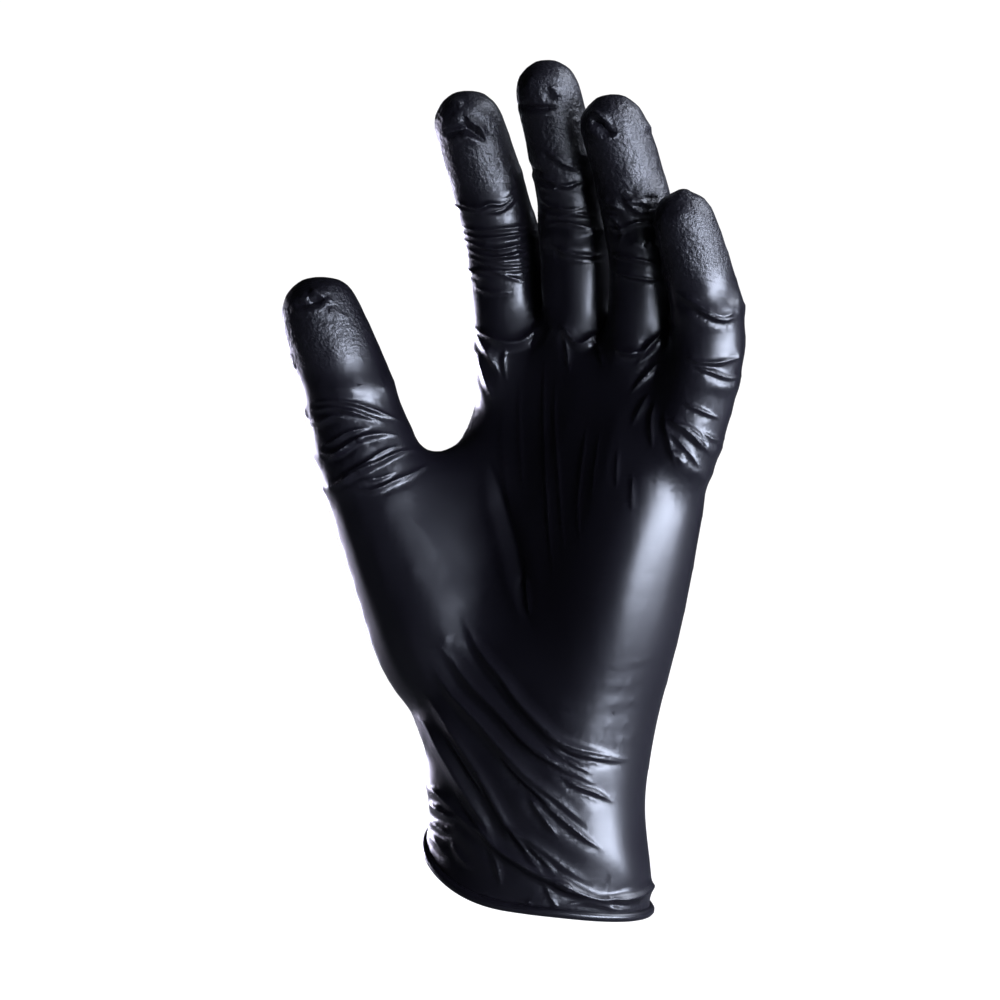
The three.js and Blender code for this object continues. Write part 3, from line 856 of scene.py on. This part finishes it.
def makeAir():
    # white to the camera, and nearly dark to the film
    world = bpy.data.worlds.new("studio_air")
    scene.world = world
    world.use_nodes = True
    airNodes = world.node_tree.nodes
    airLinks = world.node_tree.links
    airNodes.clear()
    airOut = airNodes.new("ShaderNodeOutputWorld")
    airMix = airNodes.new("ShaderNodeMixShader")
    airSeen = airNodes.new("ShaderNodeBackground")
    airSeen.inputs["Color"].default_value = studio["white"]
    airSeen.inputs["Strength"].default_value = studio["whiteGlow"]
    airLit = airNodes.new("ShaderNodeBackground")
    airLit.inputs["Color"].default_value = studio["airColour"]
    airLit.inputs["Strength"].default_value = studio["airStrength"]
    airPath = airNodes.new("ShaderNodeLightPath")
    airLinks.new(airPath.outputs["Is Camera Ray"], airMix.inputs[0])
    airLinks.new(airLit.outputs[0], airMix.inputs[1])
    airLinks.new(airSeen.outputs[0], airMix.inputs[2])
    airLinks.new(airMix.outputs[0], airOut.inputs["Surface"])


def makeLamps():
    aim = Vector(studio["aim"])
    for name, lamp in lamps.items():
        turn, lift = math.radians(lamp["turn"]), math.radians(lamp["lift"])
        way = Vector((math.sin(turn) * math.cos(lift), -math.cos(turn) * math.cos(lift), math.sin(lift)))
        bpy.ops.object.light_add(type="AREA", location=aim + way * studio["lampDistance"])
        light = bpy.context.object
        light.name = name + "_softbox"
        light.data.shape = "RECTANGLE"
        light.data.size = lamp["wide"]
        light.data.size_y = lamp["tall"]
        light.data.energy = lamp["power"]
        light.data.color = lamp["tint"]
        light.visible_camera = False
        light.rotation_euler = (-way).to_track_quat("-Z", "Y").to_euler()


scene.view_settings.view_transform = "Standard"
makeFloor()
makeAir()
makeLamps()
print("studio ready")

# Nitrile: black film with fine creases, grained on the fingertips
nitrileLook = {
    "colour": (0.002, 0.0016, 0.003, 1),
    "bloom": (0.005, 0.0043, 0.0075, 1),
    "roughness": 0.3,
    "roughnessSpread": 0.09,
    "tipRoughness": 0.05,
    "bumpDistance": 1 * mm,
    "creaseDepth": 0.05,
    "grainDepth": 0.4,
    "creaseStretch": (55, 55, 300),
    "creaseTurn": 12,
    "swellShare": 0.8,
    "bloomShare": 0.7,
    "dustShare": 0.4,
    "tipLength": {"thumb": 26, "index": 30, "middle": 34, "ring": 34, "little": 26},
    "tipFade": 9 * mm,
}
filmNoises = {
    "creases": {"scale": 1, "octaves": 5, "roughness": 0.6},
    "grain": {"scale": 950, "octaves": 3, "roughness": 0.6},
    "swell": {"scale": 260, "octaves": 2, "roughness": 0.5},
    "cloud": {"scale": 38, "octaves": 6, "roughness": 0.65},
    "dust": {"scale": 700, "octaves": 2, "roughness": 0.5},
}
filmInputs = [("Vector", "NodeSocketVector"), ("Tip", "NodeSocketFloat")]


def newGroup(name, inputs, outputs):
    group = bpy.data.node_groups.new(name, "ShaderNodeTree")
    for label, kind in inputs:
        group.interface.new_socket(label, in_out="INPUT", socket_type=kind)
    for label, kind in outputs:
        group.interface.new_socket(label, in_out="OUTPUT", socket_type=kind)
    return group, group.nodes.new("NodeGroupInput"), group.nodes.new("NodeGroupOutput")


def noiseNode(group, vector, name):
    noise = filmNoises[name]
    node = group.nodes.new("ShaderNodeTexNoise")
    node.inputs["Scale"].default_value = noise["scale"]
    node.inputs["Detail"].default_value = noise["octaves"]
    node.inputs["Roughness"].default_value = noise["roughness"]
    group.links.new(vector, node.inputs["Vector"])
    return node.outputs["Fac"]


def mathNode(group, operation, first, second):
    node = group.nodes.new("ShaderNodeMath")
    node.operation = operation
    for socket, value in zip(node.inputs, (first, second)):
        if isinstance(value, (int, float)):
            socket.default_value = value
        else:
            group.links.new(value, socket)
    return node.outputs[0]


def reliefGroup():
    # height of fine creases everywhere and of pebbled grain on the fingertips
    group, given, result = newGroup("film_relief", filmInputs, [("Height", "NodeSocketFloat")])
    squeeze = group.nodes.new("ShaderNodeMapping")
    squeeze.inputs["Rotation"].default_value = (0, math.radians(nitrileLook["creaseTurn"]), 0)
    squeeze.inputs["Scale"].default_value = nitrileLook["creaseStretch"]
    group.links.new(given.outputs["Vector"], squeeze.inputs["Vector"])
    creases = noiseNode(group, squeeze.outputs[0], "creases")
    grain = noiseNode(group, given.outputs["Vector"], "grain")
    swell = noiseNode(group, given.outputs["Vector"], "swell")
    swells = mathNode(group, "MULTIPLY", swell, nitrileLook["swellShare"])
    pebbles = mathNode(group, "ADD", grain, swells)
    pebblesOnTips = mathNode(group, "MULTIPLY", pebbles, given.outputs["Tip"])
    onTips = mathNode(group, "MULTIPLY", pebblesOnTips, nitrileLook["grainDepth"])
    fine = mathNode(group, "MULTIPLY", creases, nitrileLook["creaseDepth"])
    group.links.new(mathNode(group, "ADD", onTips, fine), result.inputs["Height"])
    return group


def sheenGroup():
    # colour and roughness, which wander a little over the film
    group, given, result = newGroup(
        "film_sheen", filmInputs, [("Color", "NodeSocketColor"), ("Roughness", "NodeSocketFloat")])
    cloud = noiseNode(group, given.outputs["Vector"], "cloud")
    dust = noiseNode(group, given.outputs["Vector"], "dust")
    blend = group.nodes.new("ShaderNodeMix")
    blend.data_type = "RGBA"
    blend.inputs["A"].default_value = nitrileLook["colour"]
    blend.inputs["B"].default_value = nitrileLook["bloom"]
    group.links.new(mathNode(group, "MULTIPLY", cloud, nitrileLook["bloomShare"]), blend.inputs["Factor"])
    group.links.new(blend.outputs["Result"], result.inputs["Color"])
    dusting = mathNode(group, "MULTIPLY", dust, nitrileLook["dustShare"])
    mottle = mathNode(group, "ADD", cloud, dusting)
    wander = mathNode(group, "MULTIPLY", mottle, nitrileLook["roughnessSpread"])
    tipMore = mathNode(group, "MULTIPLY", given.outputs["Tip"], nitrileLook["tipRoughness"])
    rough = mathNode(group, "ADD", mathNode(group, "ADD", wander, tipMore), nitrileLook["roughness"])
    group.links.new(rough, result.inputs["Roughness"])
    return group


def tipShares(points):
    # how much each point belongs to a grained fingertip
    nearest = np.full(len(points), farAway)
    shares = np.zeros(len(points))
    for name, finger in fingerLines.items():
        line = np.array(finger["line"]) * mm
        gap, _, along = nearestOnLine(points, line)
        total = np.linalg.norm(np.diff(line, axis=0), axis=1).sum()
        closer = gap < nearest
        nearest[closer] = gap[closer]
        grained = nitrileLook["tipLength"][name] * mm
        shares[closer] = ease(along, total - grained, total - grained + nitrileLook["tipFade"])[closer]
    return shares


def nitrileFilm():
    nitrile = bpy.data.materials.new("nitrile_film")
    nitrile.use_nodes = True
    nitrileNodes = nitrile.node_tree.nodes
    nitrileLinks = nitrile.node_tree.links
    nitrileShader = nitrileNodes["Principled BSDF"]
    filmPlace = nitrileNodes.new("ShaderNodeTexCoord")
    tipMask = nitrileNodes.new("ShaderNodeAttribute")
    tipMask.attribute_name = "tip"
    relief = nitrileNodes.new("ShaderNodeGroup")
    relief.node_tree = reliefGroup()
    sheen = nitrileNodes.new("ShaderNodeGroup")
    sheen.node_tree = sheenGroup()
    bump = nitrileNodes.new("ShaderNodeBump")
    bump.inputs["Strength"].default_value = 1
    bump.inputs["Distance"].default_value = nitrileLook["bumpDistance"]
    for group in (relief, sheen):
        nitrileLinks.new(filmPlace.outputs["Object"], group.inputs["Vector"])
        nitrileLinks.new(tipMask.outputs["Fac"], group.inputs["Tip"])
    nitrileLinks.new(relief.outputs["Height"], bump.inputs["Height"])
    nitrileLinks.new(bump.outputs["Normal"], nitrileShader.inputs["Normal"])
    nitrileLinks.new(sheen.outputs["Color"], nitrileShader.inputs["Base Color"])
    nitrileLinks.new(sheen.outputs["Roughness"], nitrileShader.inputs["Roughness"])
    return nitrile


tips = glove.data.attributes.new("tip", "FLOAT", "POINT")
tips.data.foreach_set("value", tipShares(pointsOf(glove)))
glove.data.materials.clear()
glove.data.materials.append(nitrileFilm())
print("nitrile ready")

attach(glove, "root")
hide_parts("glove")
